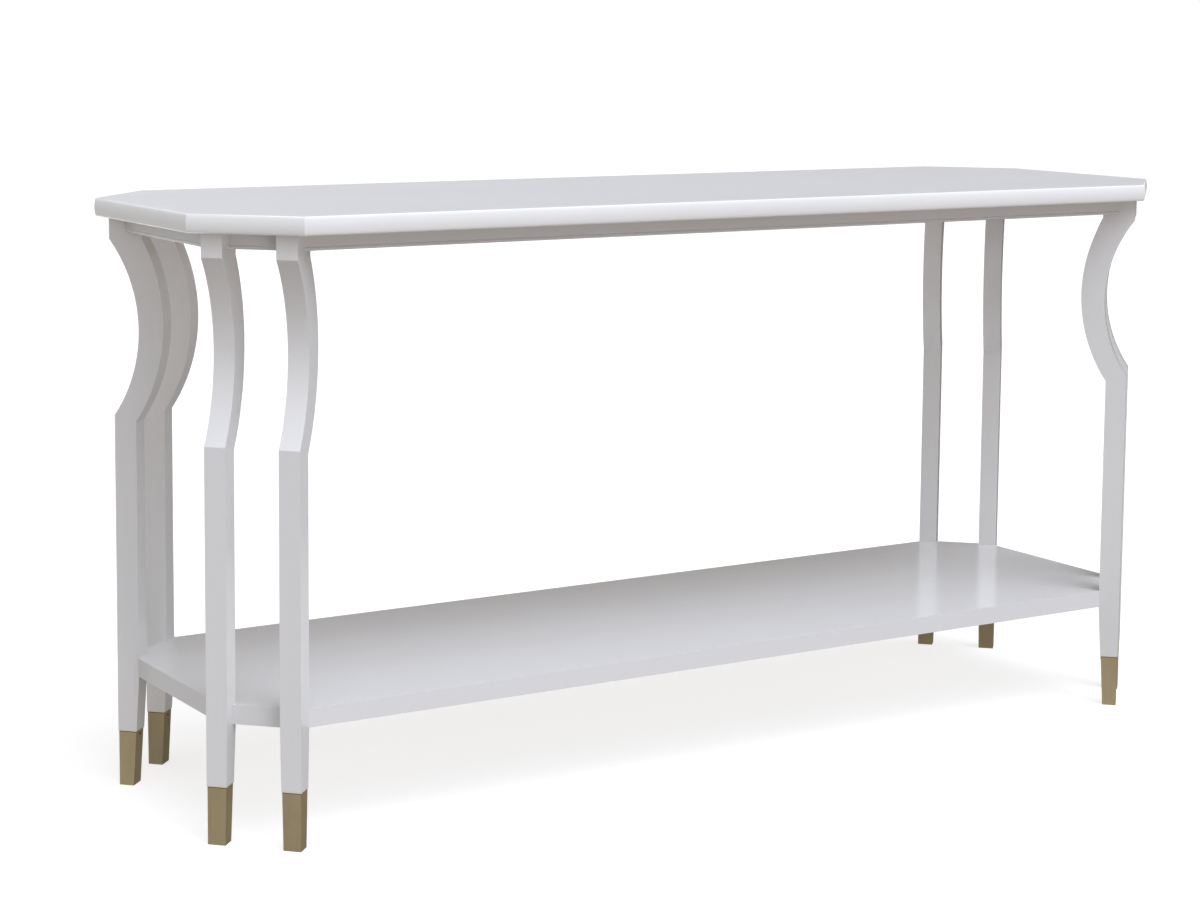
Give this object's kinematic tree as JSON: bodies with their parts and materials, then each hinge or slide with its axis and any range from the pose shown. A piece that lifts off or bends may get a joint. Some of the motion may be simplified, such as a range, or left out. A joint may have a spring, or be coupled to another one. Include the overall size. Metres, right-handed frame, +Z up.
{
  "type": "console table",
  "caption": "Long octagonal console table in white lacquer with bowed square legs paired at the clipped corners, metal foot sabots and a low octagonal shelf.",
  "frame": {"origin": "on the floor, under the middle of the top", "axes": "+Z up, +X along the long way of the top, the front faces -Y"},
  "size_m": [1.626, 0.528, 0.812],
  "materials": {
    "white_lacquer": "satin to semi-gloss white lacquer",
    "bare_wood": "unfinished hardwood",
    "aged_brass": "matte antiqued",
    "zinc_steel": "zinc plated"
  },
  "bodies": {
    "root": {"top_panel": "white_lacquer", "apron_front": "white_lacquer", "apron_back": "white_lacquer", "apron_left": "white_lacquer", "apron_right": "white_lacquer", "apron_fl": "white_lacquer", "apron_fr": "white_lacquer", "apron_br": "white_lacquer", "apron_bl": "white_lacquer", "leg_fl_end": "white_lacquer", "leg_fl_side": "white_lacquer", "leg_fr_side": "white_lacquer", "leg_fr_end": "white_lacquer", "leg_br_end": "white_lacquer", "leg_br_side": "white_lacquer", "leg_bl_side": "white_lacquer", "leg_bl_end": "white_lacquer", "sabot_fl_end": "aged_brass", "sabot_fl_side": "aged_brass", "sabot_fr_side": "aged_brass", "sabot_fr_end": "aged_brass", "sabot_br_end": "aged_brass", "sabot_br_side": "aged_brass", "sabot_bl_side": "aged_brass", "sabot_bl_end": "aged_brass", "shelf_panel": "white_lacquer", "corner_block_fl": "bare_wood", "corner_block_fr": "bare_wood", "corner_block_br": "bare_wood", "corner_block_bl": "bare_wood", "cross_rail_left": "bare_wood", "cross_rail_right": "bare_wood", "rail_dowels": "bare_wood", "shelf_dowels": "bare_wood", "block_screws": "zinc_steel", "top_screws": "zinc_steel", "sabot_pins": "aged_brass"}
  },
  "joints": []
}
